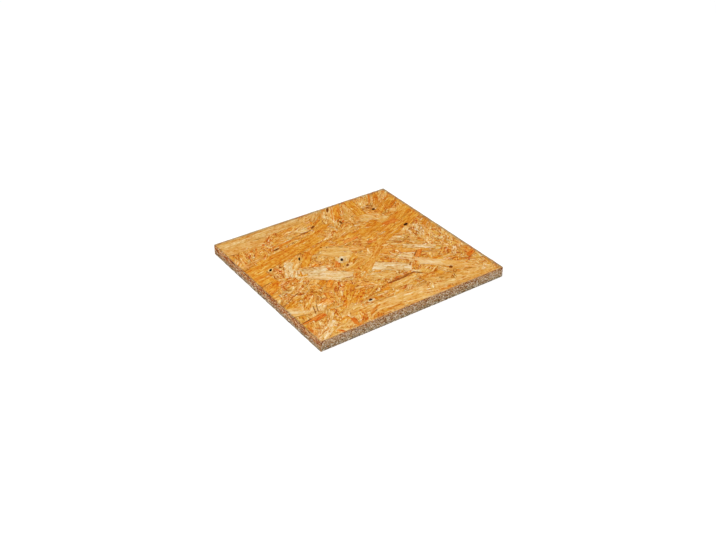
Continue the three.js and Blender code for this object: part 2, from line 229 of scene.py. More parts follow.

# Strands listed one by one on the top face, the lowest first. Places are in millimetres in plan from the
# front left corner, angles in degrees from the longer side.
Strand = namedtuple("Strand", "x y angle length width tint rings curls", defaults=(0.5, 0.3))
FACE_STRANDS = tabled(
    Strand,
    # the ground that the rest lies on
    (206, 204, -30, 66, 20, "straw"),
    (238, 205, -24, 50, 18, "straw"),
    (218, 190, 20, 60, 14, "honey"),
    (76, 60, 54, 66, 24, "honey", 0.5, 0.7),
    (112, 48, 32, 54, 13, "honey", 0.5, 0.7),
    (60, 30, 24, 84, 15, "cream", 0.4),
    (142, 73, -18, 54, 16, "straw"),
    (192, 108, -32, 70, 18, "honey"),
    (200, 5, -2, 110, 13, "straw"),
    (158, 46, 6, 48, 14, "straw"),
    (58, 108, 38, 40, 13, "straw"),
    (44, 66, 60, 50, 13, "tan"),
    (25, 88, 30, 54, 12, "amber", 0.9),
    (112, 110, -52, 52, 8, "straw"),
    (128, 112, 18, 42, 14, "honey"),
    (142, 130, -52, 52, 14, "straw"),
    (157, 188, 20, 50, 14, "straw"),
    (150, 148, -30, 30, 16, "straw"),
    (198, 52, 30, 50, 18, "honey"),
    (132, 246, 22, 66, 17, "tan"),
    (152, 250, 40, 34, 12, "tan"),
    (228, 66, -12, 30, 11, "amber"),
    (224, 84, 58, 30, 10, "honey"),
    (134, 190, 24, 38, 13, "cream", 0.6, 1.0),
    (156, 170, 6, 60, 12, "honey"),
    # ordinary strands
    (12, 247, 24, 30, 18, "cream", 0.3),
    (96, 236, 20, 66, 15, "honey"),
    (62, 224, 56, 58, 9, "tan", 0.9),
    (14, 206, 72, 44, 9, "honey", 0.6),
    (24, 206, 82, 44, 6, "tan", 0.9),
    (38, 212, 62, 52, 7, "honey", 0.9),
    (74, 211, 8, 72, 15, "honey", 0.6),
    (20, 191, 10, 40, 9, "tan", 0.6),
    (122, 210, 28, 104, 20, "amber"),
    (146, 222, 34, 50, 13, "honey"),
    (115, 225, -24, 32, 8, "cream", 0.5, 0.8),
    (268, 250, 40, 40, 14, "straw"),
    (258, 222, 34, 64, 20, "amber"),
    (271, 208, 64, 34, 10, "amber", 0.9),
    (33, 144, 62, 40, 20, "cream", 0.9, 1.0),
    (40, 114, 44, 30, 4, "pale"),
    (244, 8, -18, 54, 10, "honey"),
    (252, 31, -22, 46, 20, "cream"),
    (272, 22, 70, 24, 9, "amber", 0.8),
    (215, 38, 4, 24, 10, "amber"),
    (232, 33, -34, 22, 8, "amber", 0.9),
    (188, 66, 34, 34, 7, "amber", 0.9),
    (154, 108, 38, 50, 6, "honey"),
    (36, 110, 42, 66, 5, "cream", 0.5, 0.8),
    (40, 8, 16, 46, 14, "cream"),
    (8, 124, 30, 42, 18, "amber"),
    (256, 112, 26, 52, 18, "cream", 0.6, 0.9),
    (28, 112, 30, 30, 13, "cream", 0.5, 0.9),
    (220, 132, -20, 44, 16, "cream", 0.6, 0.9),
    (268, 86, 70, 40, 16, "cream", 0.6, 0.9),
    (130, 192, 20, 26, 14, "cream", 0.6, 0.9),
    (266, 150, 60, 24, 14, "cream", 0.6, 0.9),
    # smooth, calm strands
    (32, 232, -8, 74, 24, "tan", 0.6, 0.1),
    (60, 251, 2, 134, 23, "tan", 0.2, 0.1),
    (6, 150, 8, 36, 26, "amber", 0.5, 0.1),
    (106, 173, 16, 46, 12, "amber", 0.6, 0.1),
    (64, 184, 13, 152, 22, "amber", 0.6, 0.1),
    (58, 192, 10, 70, 9, "amber", 0.9, 0.2),
    (123, 154, -40, 36, 26, "straw", 0.2, 0.0),
    (222, 17, -14, 96, 21, "straw", 0.5, 0.2),
    (128, 15, -3, 132, 28, "cream", 0.2, 0.1),
    (150, 9, -6, 46, 12, "cream", 0.2, 0.1),
    (14, 66, -10, 46, 21, "cream", 0.3, 0.2),
    (7, 68, -20, 16, 13, "pale"),
    (21, 62, 12, 16, 12, "pale"),
    (40, 57, 40, 14, 9, "pale"),
    (31, 23, 40, 13, 12, "pale", 0.3, 0.4),
    (261, 15, 30, 15, 8, "pale"),
    (250, 138, 46, 50, 24, "cream", 0.9, 1.0),
    (195, 180, 22, 44, 20, "amber", 0.6, 0.1),
    (218, 199, -50, 40, 20, "cream", 0.3, 0.3),
    (156, 176, 8, 40, 14, "amber", 0.5, 0.4),
    (265, 200, 60, 30, 16, "honey", 0.6, 0.3),
    (70, 232, 30, 30, 12, "honey", 0.8, 0.7),
    (270, 110, 60, 32, 13, "cream", 0.6, 0.8),
    (90, 52, 42, 34, 14, "amber", 0.6, 0.6),
    (166, 156, -30, 22, 12, "straw", 0.6, 0.6),
    (270, 38, 78, 38, 13, "cream", 0.6, 0.7),
    (108, 8, -4, 34, 7, "honey", 0.8, 0.4),
    (74, 52, 40, 30, 12, "amber", 0.8, 0.6),
    (190, 50, 20, 30, 14, "honey", 0.8, 0.7),
    # the long golden strands and those in the far right corner
    (262, 171, 28, 44, 15, "amber", 0.9, 0.1),
    (270, 151, 34, 32, 12, "amber", 0.9),
    (246, 184, 25, 94, 18, "amber", 0.9, 0.1),
    (230, 159, 22, 124, 15, "amber", 0.6, 0.1),
    (166, 122, 37, 98, 12, "honey", 0.6, 0.1),
    (172, 240, 62, 50, 14, "cream"),
    (196, 232, 60, 46, 14, "cream"),
    (211, 241, 84, 54, 17, "amber", 0.7),
    (231, 250, 56, 34, 13, "cream", 0.5, 0.6),
    (183, 241, 61, 64, 11, "amber", 1.0),
    (254, 246, 56, 38, 9, "amber", 0.8),
    (86, 132, -24, 36, 11, "cream", 0.9, 1.0),
    (34, 9, 10, 26, 16, "straw", 0.6, 0.3),
    (10, 171, 14, 34, 18, "amber", 1.0, 0.2),
    (134, 128, 40, 26, 12, "amber", 0.6, 0.5),
    (110, 132, 50, 24, 12, "honey", 0.8, 0.6),
    (122, 90, 30, 34, 12, "honey", 0.8, 0.6),
    # clean sapwood
    (223, 103, -34, 44, 10, "pale", 0.9, 0.8),
    (238, 42, -34, 40, 13, "cream", 0.5, 0.6),
    (82, 114, -41, 66, 23, "pale", 0.2, 0.2),
    (98, 100, -41, 28, 20, "pale", 0.2, 0.2),
    (70, 128, -28, 34, 19, "milk", 0.3, 0.7),
    (52, 150, 60, 36, 18, "milk", 0.1, 0.4),
    (56, 155, 62, 22, 13, "milk", 0.1, 0.3),
    (66, 160, 50, 34, 8, "cream"),
    (75, 151, 51, 60, 12, "amber", 0.6, 0.2),
    (166, 81, -38, 54, 21, "milk", 0.2, 0.4),
    (212, 64, -46, 58, 15, "pale", 0.3, 0.1),
    (232, 46, -44, 30, 14, "cream", 0.3, 0.1),
    (168, 99, -34, 22, 12, "amber", 1.0, 1.0),
    (70, 142, -20, 20, 7, "cream", 0.9, 1.0),
    (191, 93, -50, 28, 14, "pale", 0.6, 1.0),
    (252, 129, 50, 38, 20, "cream", 0.6, 0.8),
    (76, 132, -18, 34, 14, "milk", 0.5, 0.7),
    (47, 112, 36, 34, 11, "cream", 0.7, 1.0),
    (26, 109, 30, 26, 10, "cream", 0.7, 0.8),
    (190, 68, 44, 24, 12, "honey", 0.7, 0.6),
    (250, 137, 60, 30, 16, "pale", 0.8, 1.0),
    (232, 148, 30, 26, 10, "cream", 0.5, 0.5),
    (9, 9, 30, 34, 17, "pale", 0.6, 0.7),
    (206, 12, -20, 40, 14, "cream", 0.4, 0.4),
    (38, 37, 50, 26, 9, "cream", 0.6, 0.6),
    (254, 68, 50, 24, 9, "pale", 0.9, 1.0),
    (269, 246, 40, 24, 11, "cream", 0.5, 0.6),
    (203, 151, 18, 36, 7, "amber", 1.0, 0.2),
    (85, 66, 50, 36, 14, "amber", 0.7, 0.5),
    (30, 76, 50, 34, 12, "honey", 0.8, 0.7),
    (162, 238, 60, 36, 11, "cream", 0.5, 0.6),
    (243, 30, -34, 34, 11, "cream", 0.4, 0.4),
    (192, 97, -30, 34, 12, "pale", 0.5, 0.9),
    (134, 212, 28, 40, 12, "amber", 0.8, 0.2),
    (48, 8, 20, 26, 10, "cream", 0.6, 0.7),
    (168, 214, 50, 26, 11, "cream", 0.6, 0.8),
    # heartwood
    (15, 42.5, 6, 26, 6, "ember", 0.3, 0.0),
    (25, 42, 12, 20, 11, "ember", 0.5, 0.0),
    (76, 95, 40, 18, 10, "rust", 0.4, 0.1),
    (211, 89, 42, 20, 9, "ember", 0.6, 0.1),
    (157, 168, 6, 24, 8, "ember", 0.8, 0.1),
    (178, 148, -8, 14, 8, "ember", 0.4, 0.2),
    (230, 177, 8, 24, 12, "ember", 0.4, 0.0),
    (108, 127, 60, 16, 10, "ember", 0.3, 0.1),
    (270, 52, 24, 20, 11, "rust", 0.5, 0.1),
    (56, 12, 78, 15, 8, "ember", 0.9, 0.0),
    (80, 210, 4, 24, 6, "rust", 1.0, 0.2),
    (265, 227, 30, 24, 14, "amber", 0.9, 0.2),
    (243, 247, 57, 34, 3.0, "rust", 0.2, 0.0),
    (164, 59.5, 4, 30, 4, "rust", 0.9, 0.8),
    # slivers of bark; the two long brown strips near y 55 are painted shade along a strand's edge
    (208, 91.5, 40, 15, 2.4, "brown", 0.3, 0.0),
    (182, 53, -52, 13, 2.6, "bark", 0.2, 0.0),
    (29, 58, 70, 17, 1.4, "bark"),
    (34, 60, 66, 15, 1.2, "bark"),
    (9, 43, 8, 15, 1.8, "bark"),
    (150, 54.4, 2, 26, 4.2, "brown", 0.2, 0.0),
    (168, 55.6, 4, 26, 3.6, "brown", 0.2, 0.0),
    (187, 75, 40, 9, 3, "brown"),
    (176, 243, 61, 40, 1.3, "rust"),
    (191, 238, 61, 36, 1.2, "rust"),
    (22, 204, 84, 30, 1.1, "rust"),
    (13, 206, 82, 24, 1.0, "rust"),
    (37, 212, 62, 26, 1.1, "rust"),
    (10, 89, 27, 22, 1.3, "brown"),
    (28, 98, 24, 16, 1.2, "brown"),
)
UNDER_STRANDS = tabled(
    Strand,
    (132, 64, -36, 70, 17, "honey"),
    (150, 36, 30, 88, 16, "straw"),
    (48, 218, 40, 96, 20, "honey"),
    (226, 210, 14, 104, 18, "amber"),
    (56, 46, 8, 110, 21, "tan"),
    (230, 54, 52, 92, 22, "straw"),
    (140, 131, -24, 118, 24, "honey"),
)

# Pale wood that swells round a knot
Collar = namedtuple("Collar", "x y angle length width tint")
COLLARS = tabled(
    Collar,
    (120, 133, 40, 17, 13, "pale"),
    (127, 137, -24, 13, 8, "cream"),
    (115, 138, 70, 10, 6, "cream"),
    (122, 118, 20, 9, 5, "pale"),
    (30, 164, 45, 9, 7, "cream"),
    (76, 168, 60, 10, 6, "cream"),
    (97, 36, 5, 10, 6, "pale"),
)

BARK_RING = 1.4  # how much wider the ring of bark round a gap is than the gap, in millimetres

# Knots that fell out of pale swollen wood, and gaps with bark round them that nothing covers: the same
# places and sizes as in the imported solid
Pit = namedtuple("Pit", "x y angle length width depth")
KNOTS = tabled(
    Pit,
    (30, 164, 45, 7, 3.4, 2.4),
    (74.5, 166, 60, 8, 2.6, 1.8),
    (119, 133, 62, 7, 4, 2),
    (97, 37, 12, 5.5, 3.6, 2.2),
)
GAPS = tabled(
    Pit,
    (118, 118, 20, 4, 3, 1.2),
    (62, 203, 12, 9, 2.6, 1.2),
    (243, 159, 18, 8, 4, 2.4),
    (231, 219, 30, 4.6, 4, 1.8),
    (172, 214, 80, 8, 3, 1.4),
    (133, 225, 35, 8, 2.6, 1.2),
    (176, 254, 56, 11, 2.6, 1.4),
    (225, 39, 40, 5, 4, 1.4),
)
SHALLOW = 1.6  # light reaches the bottom of gaps up to this deep
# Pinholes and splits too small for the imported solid
SPECKS = tabled(
    Pit,
    (47, 163, 14, 16, 1.0, 0.5),
    (50, 76, 70, 4, 1.4, 0.7),
    (249, 51, 30, 3, 1.6, 0.7),
    (99, 118, 10, 3.4, 1.6, 0.7),
    (111, 61, 80, 3, 1.2, 0.6),
    (90, 15, 0, 4, 1.4, 0.6),
    (198, 28, 40, 3.4, 1.4, 0.6),
    (12, 44, 20, 3, 1.2, 0.6),
    (166, 243, 40, 3, 2, 0.8),
    (194, 219, 30, 4, 1.6, 0.7),
    (184, 63, 60, 5, 1.4, 0.7),
    (113, 174, 20, 4, 2, 0.8),
    (119, 169, 60, 3, 1.6, 0.7),
    (44, 138, 60, 2.4, 1.4, 0.6),
    (47, 148, 70, 2, 1.2, 0.5),
    (205, 81, 40, 2.4, 1.4, 0.6),
    (138, 86, 30, 2.6, 1.0, 0.5),
)

# How often each wood colour is dealt to scattered strands and to the chips between them
STRAND_DEAL = {"straw": 6, "honey": 5, "tan": 5, "amber": 5, "cream": 4, "rust": 0.8, "brown": 0.3}
CHIP_DEAL = {"pale": 1.6, "cream": 4, "straw": 6, "honey": 5, "amber": 5, "rust": 1.2, "brown": 1.2}
TORN_DEAL = {"cream": 4, "straw": 6, "honey": 5, "tan": 4, "amber": 3, "rust": 0.4}

# Scattered pieces: sizes in millimetres run from least to most, and the small ones are the commonest;
# some lean to one side as they lie
Scatter = namedtuple("Scatter", "cut length width bias deal curls leans")
FILL = Scatter("broad", (26, 110), (5, 19), 1.4, STRAND_DEAL, (0.2, 0.8), False)
SLIVERS = Scatter("chip", (10, 44), (2, 8), 1.4, STRAND_DEAL, (0.2, 0.8), False)
TORN = Scatter("fleck", (8, 30), (5, 14), 1.1, TORN_DEAL, (0.8, 1.0), False)
CHIPS = Scatter("chip", (3, 20), (0.9, 3.4), 1.8, CHIP_DEAL, (0.5, 1.0), True)

# Places where the small stuff lies thickest, and where the strands drift another way than elsewhere
Patch = namedtuple("Patch", "x y radius count angle spread scatter", defaults=(70, CHIPS))
PATCHES = tabled(
    Patch,
    (98, 217, 22, 18, 8, 12, SLIVERS),
    (66, 218, 18, 10, 6, 12, SLIVERS),
    (182, 190, 18, 16, -10, 12, SLIVERS),
    (214, 190, 20, 16, -24, 12, SLIVERS),
    (126, 156, 18, 14, -43, 12, SLIVERS),
    (154, 160, 14, 8, -2, 12, SLIVERS),
    (208, 162, 16, 10, 8, 12, SLIVERS),
    (208, 128, 22, 22, -22, 14, SLIVERS),
    (238, 100, 22, 22, -27, 14, SLIVERS),
    (238, 73, 15, 12, -4, 14, SLIVERS),
    (98, 44, 20, 16, -6, 12, SLIVERS),
    (66, 40, 14, 8, 9, 12, SLIVERS),
    (182, 42, 15, 10, 4, 12, SLIVERS),
    (182, 14, 22, 16, -17, 10, SLIVERS),
    (150, 10, 16, 8, -9, 10, SLIVERS),
    (264, 14, 13, 10, -14, 14, SLIVERS),
    (42, 100, 14, 8, 18, 12, SLIVERS),
    (42, 87, 22, 14, 40, 60, TORN),
    (63, 67, 22, 14, 50, 60, TORN),
    (30, 104, 22, 14, 30, 60, TORN),
    (42, 128, 14, 8, -40, 60, TORN),
    (93, 142, 15, 10, -30, 60, TORN),
    (106, 82, 24, 18, 30, 70, TORN),
    (86, 16, 22, 14, 0, 70, TORN),
    (40, 18, 18, 10, 60, 70, TORN),
    (34, 154, 14, 8, 60, 60, TORN),
    (182, 98, 16, 12, 60, 80, TORN),
    (178, 62, 18, 12, 20, 80, TORN),
    (254, 62, 24, 20, 20, 80, TORN),
    (250, 132, 28, 28, 70, 60, TORN),
    (188, 222, 16, 10, 40, 60, TORN),
    (228, 210, 18, 10, 30, 70, TORN),
    (34, 220, 26, 16, 66, 30, TORN),
    (136, 184, 20, 14, 10, 70, TORN),
    (196, 34, 26, 14, 0, 60, TORN),
    (88, 217, 16, 16, 20),
    (138, 182, 20, 30, 20),
    (90, 143, 15, 18, -40),
    (182, 97, 14, 24, 60),
    (248, 132, 26, 40, 70),
    (254, 62, 18, 26, 10),
    (150, 72, 18, 24, 20),
    (112, 80, 22, 24, 40),
    (44, 86, 26, 34, 40),
    (64, 66, 22, 24, 50),
    (88, 14, 22, 30, 10),
    (38, 20, 22, 26, 60),
    (32, 150, 15, 24, 70),
    (34, 218, 30, 30, 70),
    (188, 224, 18, 24, 40),
    (226, 212, 22, 24, 20),
    (196, 30, 34, 30, 10),
)

SHADE_SPREAD, WARMTH_SPREAD = 0.06, 0.10
WARMING = (0.4, -0.5, -2.0)  # what warmth adds to red, green and blue, as shares of each
PICKED_SPREAD = 0.35  # how much of that spread is left in listed strands

FILL_PITCH = 17 * MM
FILL_JITTER = 0.5  # how far a scattered strand may lie off its place, in pitches
LOOSE_TURN = 2  # how many times as far slivers and chips turn from the main direction
SCATTERED_RINGS, COLLAR_RINGS = (0.2, 0.9), 0.2  # contrast of their growth rings
GRAIN_SPAN = 3.0  # side of the stretch of grain that pieces are cut from, in metres
TOP_LOOSE, UNDER_LOOSE = (170, 300), (140, 160)  # slivers and chips outside the patches
BURIED = (0.62, 0.95)  # depth of scattered strands, as shares of the relief
BEDDED = (0.50, 0.64)  # chips pressed down among them
HAND_LAID = 0.42  # the lowest listed strand
PROUD = (0.04, 0.46)  # pieces of the patches
LEAST_DEPTH = 0.005 * MM
MAT_ALLOWANCE = 6 * MM

# The strands in a saw cut: ends of strands show on the two long edges, their sides on the short ones.
# Warmth is how far resin warms the colour of the outer layers and that of the whole edge, draw how far
# the texture is shortened, and mix how far sawn strands run from the dark colour to the light one.
SawnGrain = namedtuple("SawnGrain", "least_length most_length least_height most_height warmth draw mix")
END_GRAIN = SawnGrain(4 * MM, 13 * MM, 0.8 * MM, 1.7 * MM, (0.6, 0.0), 1.0, (0.44, 0.56))
SIDE_GRAIN = SawnGrain(8 * MM, 26 * MM, 0.8 * MM, 1.6 * MM, (1.45, 1.35), 0.45, (0.42, 0.66))
Edge = namedtuple("Edge", "side run grain")
EDGES = (
    Edge(side_matrix(Vector((LOW.x, LOW.y, LOW.z)), X_AXIS, Z_AXIS), LENGTH, END_GRAIN),
    Edge(side_matrix(Vector((HIGH.x, LOW.y, LOW.z)), Y_AXIS, Z_AXIS), WIDTH, SIDE_GRAIN),
    Edge(side_matrix(Vector((HIGH.x, HIGH.y, LOW.z)), -X_AXIS, Z_AXIS), LENGTH, END_GRAIN),
    Edge(side_matrix(Vector((LOW.x, HIGH.y, LOW.z)), -Y_AXIS, Z_AXIS), WIDTH, SIDE_GRAIN),
)
LAYER_JITTER = (0.2, 0.8)  # where in its layer a sawn strand lies, as a share of the layer pitch
LAYER_LEAN = math.radians(2.0)
DEEPEST_SAWN = 0.5  # how deep a sawn strand's end may lie, as a share of the edge relief
SAWN_STEP = (0.7, 1.05)  # from a sawn strand to the next one, as a share of its length
# What is left of the board between sawn strands, and along its arrises: shares of the lighter or warmer
# colour in it
SAWN_LIGHTNESS, OUTER_WARMTH, ARRIS_WARMTH = 0.35, 0.6, 0.65
EDGE_VOIDS = 8  # on each edge
EDGE_VOID_PLACE = (0.1, 0.9)  # where in its share of the edge a gap lies
EDGE_VOID_LEAN = math.radians(6)
# Long gaps under the top layer of the left edge, dark with painted shade: place along it from the far corner,
# up, and size
LEFT_GAPS = tabled(
    Pit,
    (85, 13.5, 0, 28, 1.1, 1.4),
    (56, 13.2, 0, 16, 1.0, 1.2),
    (140, 13.4, 0, 18, 1.1, 1.4),
    (196, 12.6, 0, 12, 1.0, 1.2),
    (8, 9, 0, 9, 1.4, 1.6),
)
WARM_DEPTH = 3.8 * MM  # the resin-rich outer layers
MOST_WARMTH = 0.9
# How high a painted contact shadow darkens the foot of the edges
SHADED_FOOT = 2.6 * MM
FOOT, MOST_GREYING = 9 * MM, 0.8  # how high the foot of the edges turns greyer, and how much
EDGE_VOID_LENGTH = (1.6 * MM, 6 * MM)
EDGE_VOID_HEIGHT = (0.6 * MM, 1.2 * MM)
EDGE_VOID_DEPTH = (0.6 * MM, 2.4 * MM)
EDGE_VOID_MARGIN = 2.2 * MM
VOID_WAVER = 0.14  # how far the outline of a hollow wanders, as a share of its size
VOID_SEGMENTS, VOID_RINGS = 12, 6
CORNER_CHIP_RADIUS = 3.6 * MM
CORNER_CHIP_BITE = 1.9 * MM
ARRIS_CHIPS = 9  # on each edge of each face
ARRIS_CHIP_LENGTH = (1.5 * MM, 5 * MM)
ARRIS_CHIP_REACH = (0.5 * MM, 1.1 * MM)


def only(obj):
    """Select one object alone and make it active."""
    bpy.ops.object.select_all(action="DESELECT")
    obj.select_set(True)
    bpy.context.view_layer.objects.active = obj


def get_places(mesh):
    places = np.empty(len(mesh.vertices) * 3, dtype=np.float32)
    mesh.vertices.foreach_get("co", places)
    return places.reshape(-1, 3).astype(float)


def set_places(mesh, places):
    mesh.vertices.foreach_set("co", np.asarray(places, dtype=np.float32).ravel())
    mesh.update()


def corner_vertices(mesh):
    """The vertex of every face corner."""
    corners = np.empty(len(mesh.loops), dtype=np.int32)
    mesh.loops.foreach_get("vertex_index", corners)
    return corners


def dress(mesh, material, grain, rim, tint, look):
    """Give a mesh its material place, its two maps and its two colour attributes."""
    while len(mesh.uv_layers):
        mesh.uv_layers.remove(mesh.uv_layers[0])
    for name, values in ((GRAIN_MAP, grain), (RIM_MAP, rim)):
        layer = mesh.uv_layers.new(name=name)
        layer.data.foreach_set("uv", np.asarray(values, dtype=np.float32).ravel())
    for name, value in ((TINT, tint), (LOOK, look)):
        layer = mesh.color_attributes.new(name, "FLOAT_COLOR", "CORNER")
        layer.data.foreach_set("color", np.tile(np.asarray(value, dtype=np.float32), len(mesh.loops)))
    mesh.polygons.foreach_set("material_index", np.full(len(mesh.polygons), material, dtype=np.int32))


def strand_outline(cut, chance):
    """Round a strand: its sides split along the grain, its ends broken across it."""
    half_length, half_width = cut.length * MM / 2, cut.width * MM / 2
    points = []
    for turn in (1, -1):
        split_at = chance.uniform(-SPLIT_REACH, SPLIT_REACH)
        split = chance.uniform(0, cut.split)
        for along in np.linspace(-1, 1, cut.side_points):
            narrow = chance.uniform(0, cut.waver) + (split if along > split_at else 0)
            across = (1 - narrow) * (1 - cut.taper * abs(along) ** TAPER_POWER)
            points.append((turn * along * half_length, -turn * across * half_width))
        for share in np.linspace(-across, 1 - cut.taper, cut.end_points + 2)[1:-1]:
            reach = half_length + chance.uniform(-cut.rag, cut.rag) * MM
            points.append((turn * reach, turn * share * half_width))
    slant = chance.uniform(-cut.slant, cut.slant) * MM
    return [(x + slant * y / half_width * abs(x / half_length) ** SLANT_POWER, y) for x, y in points]


def cut_blank(name, cut, chance):
    """One strand as the knives leave it: flat, with its outline and, where it has one, a worn rim."""
    outline = strand_outline(cut, chance)
    bpy.ops.object.select_all(action="DESELECT")
    bpy.ops.mesh.primitive_circle_add(vertices=len(outline), fill_type="NGON")
    obj = bpy.context.object
    obj.name = name
    mesh = obj.data
    order = [mesh.loops[number].vertex_index for number in mesh.polygons[0].loop_indices]
    for number, (x, y) in zip(order, outline):
        mesh.vertices[number].co = (x, y, 0)
    bpy.ops.object.mode_set(mode="EDIT")
    bpy.ops.mesh.select_all(action="SELECT")
    bpy.ops.mesh.extrude_region_move(TRANSFORM_OT_translate={"value": (0, 0, -cut.thickness * MM)})
    bpy.ops.mesh.select_all(action="SELECT")
    bpy.ops.mesh.normals_make_consistent(inside=False)
    bpy.ops.mesh.select_mode(type="FACE")
    bpy.ops.mesh.select_all(action="DESELECT")
    bpy.ops.object.mode_set(mode="OBJECT")
    top = max(mesh.polygons, key=lambda face: face.center.z)
    top.select = True
    if cut.rim:
        bpy.ops.object.mode_set(mode="EDIT")
        bpy.ops.mesh.inset(thickness=cut.rim * MM, use_even_offset=False)
        bpy.ops.object.mode_set(mode="OBJECT")
        top = next(face for face in mesh.polygons if face.select)
    inner = list(top.vertices)
    places = get_places(mesh)
    upper = places[:, 2] > -cut.thickness * MM / 2
    upper[inner] = False
    places[upper, 2] -= cut.worn * MM
    set_places(mesh, places)
    rims = np.zeros(len(mesh.vertices))
    rims[inner] = 1
    corners = corner_vertices(mesh)
    spots = get_places(mesh)[corners][:, :2]
    bpy.data.objects.remove(obj)
    return Blank(mesh, cut, spots, np.column_stack((rims[corners], np.zeros(len(corners)))))


def cut_blanks(name, cut):
    chance = random.Random(cut.seed)
    return [cut_blank(f"{name}_{number}", cut, chance) for number in range(BLANKS_PER_CUT)]


# One piece to lay: its middle and size in its side's plane, how deep its top lies and how it leans
Piece = namedtuple(
    "Piece", "place angle size depth tint rings curls roll tilt draw", defaults=(0.5, 0, 0, 0, 1)
)


def lay(pile, blank, side, piece, material, chance):
    """Copy a blank to its place on a side of the board, as an object of the pile."""
    mesh = blank.mesh.copy()
    length, width = piece.size
    stretch = (length / (blank.cut.length * MM), width / (blank.cut.width * MM))
    drop = piece.depth + abs(piece.roll) * width / 2 + abs(piece.tilt) * length / 2
    mesh.transform(
        side
        @ Matrix.Translation((*piece.place, -drop))
        @ Matrix.Rotation(piece.angle, 4, "Z")
        @ Matrix.Rotation(piece.roll, 4, "X")
        @ Matrix.Rotation(piece.tilt, 4, "Y")
        @ Matrix.Diagonal((*stretch, 1, 1))
    )
    shift = (chance.uniform(0, GRAIN_SPAN), chance.uniform(0, GRAIN_SPAN))
    look = (piece.rings, chance.random(), piece.curls, 1)
    grain = blank.spots * stretch * (piece.draw, 1) + shift
    dress(mesh, material, grain, blank.rims, piece.tint, look)
    pile.objects.link(bpy.data.objects.new(mesh.name, mesh))


def dealt_tint(colours, name, chance, spread=1.0):
    """A wood colour, a little lighter or darker and a little redder or yellower for each strand."""
    shade = 1 + chance.uniform(-SHADE_SPREAD, SHADE_SPREAD) * spread
    warmth = chance.uniform(-WARMTH_SPREAD, WARMTH_SPREAD) * spread
    *channels, alpha = getattr(colours, name)
    return (*(value * shade * (1 + change * warmth) for value, change in zip(channels, WARMING)), alpha)


def deal(weights, chance):
    return chance.choices(list(weights), weights=list(weights.values()))[0]


def biased(span, bias, chance):
    """A length between two in millimetres, more often a short one than a long one."""
    least, most = span
    return (least + chance.random() ** bias * (most - least)) * MM


def scattered(place, scatter, depths, angle, spread, sizes, colours, chance):
    """A piece of a chance size, turn, depth, colour, grain and lean."""
    roll = sizes.chip_lean if scatter.leans else sizes.roll
    return Piece(
        place=place,
        angle=angle + chance.uniform(-spread, spread),
        size=(biased(scatter.length, scatter.bias, chance), biased(scatter.width, scatter.bias, chance)),
        depth=sizes.relief * chance.uniform(*depths),
        tint=dealt_tint(colours, deal(scatter.deal, chance), chance),
        rings=chance.uniform(*SCATTERED_RINGS),
        curls=chance.uniform(*scatter.curls),
        roll=chance.uniform(-roll, roll),
        tilt=chance.uniform(-sizes.tilt, sizes.tilt),
    )


def lay_face(pile, side, strands, collars, patches, loose, blanks, sizes, colours, chance):
    """One face, from the buried strands up: chance strands, chips, listed strands, patches."""

    def scatter_one(scatter, place, depths, angle, spread):
        piece = scattered(place, scatter, depths, angle, spread, sizes, colours, chance)
        lay(pile, chance.choice(blanks[scatter.cut]), side, piece, STRAND_WOOD, chance)

    columns, rows = round(LENGTH / FILL_PITCH), round(WIDTH / FILL_PITCH)
    for column in range(columns + 1):
        for row in range(rows + 1):
            steps = [step + chance.uniform(-FILL_JITTER, FILL_JITTER) for step in (column, row)]
            place = [step * FILL_PITCH for step in steps]
            scatter_one(FILL, place, BURIED, sizes.lay_angle, sizes.lay_scatter)
    for scatter, count in zip((SLIVERS, CHIPS), loose):
        for _ in range(count):
            place = (chance.uniform(0, LENGTH), chance.uniform(0, WIDTH))
            scatter_one(scatter, place, BEDDED, sizes.lay_angle, LOOSE_TURN * sizes.lay_scatter)
    for number, strand in enumerate(strands):
        piece = Piece(
            place=(strand.x * MM, strand.y * MM),
            angle=math.radians(strand.angle),
            size=(strand.length * MM, strand.width * MM),
            depth=LEAST_DEPTH + sizes.relief * HAND_LAID * (1 - number / (len(strands) - 1)),
            tint=dealt_tint(colours, strand.tint, chance, PICKED_SPREAD),
            rings=strand.rings,
            curls=strand.curls,
        )
        cut = "fleck" if strand.length < LONGEST_FLECK else "broad"
        lay(pile, chance.choice(blanks[cut]), side, piece, STRAND_WOOD, chance)
    for patch in patches:
        for _ in range(patch.count):
            reach, turn = patch.radius * MM * math.sqrt(chance.random()), chance.uniform(0, math.tau)
            place = (patch.x * MM + reach * math.cos(turn), patch.y * MM + reach * math.sin(turn))
            scatter_one(patch.scatter, place, PROUD, math.radians(patch.angle), math.radians(patch.spread))
    for spot, depth in collars:
        piece = Piece(
            place=(spot.x * MM, spot.y * MM),
            angle=math.radians(spot.angle),
            size=(spot.length * MM, spot.width * MM),
            depth=depth,
            tint=dealt_tint(colours, spot.tint, chance),
            rings=COLLAR_RINGS,
        )
        lay(pile, chance.choice(blanks["collar"]), side, piece, STRAND_WOOD, chance)


def mixed_tint(first, second, share):
    return tuple(a * (1 - share) + b * share for a, b in zip(first, second))


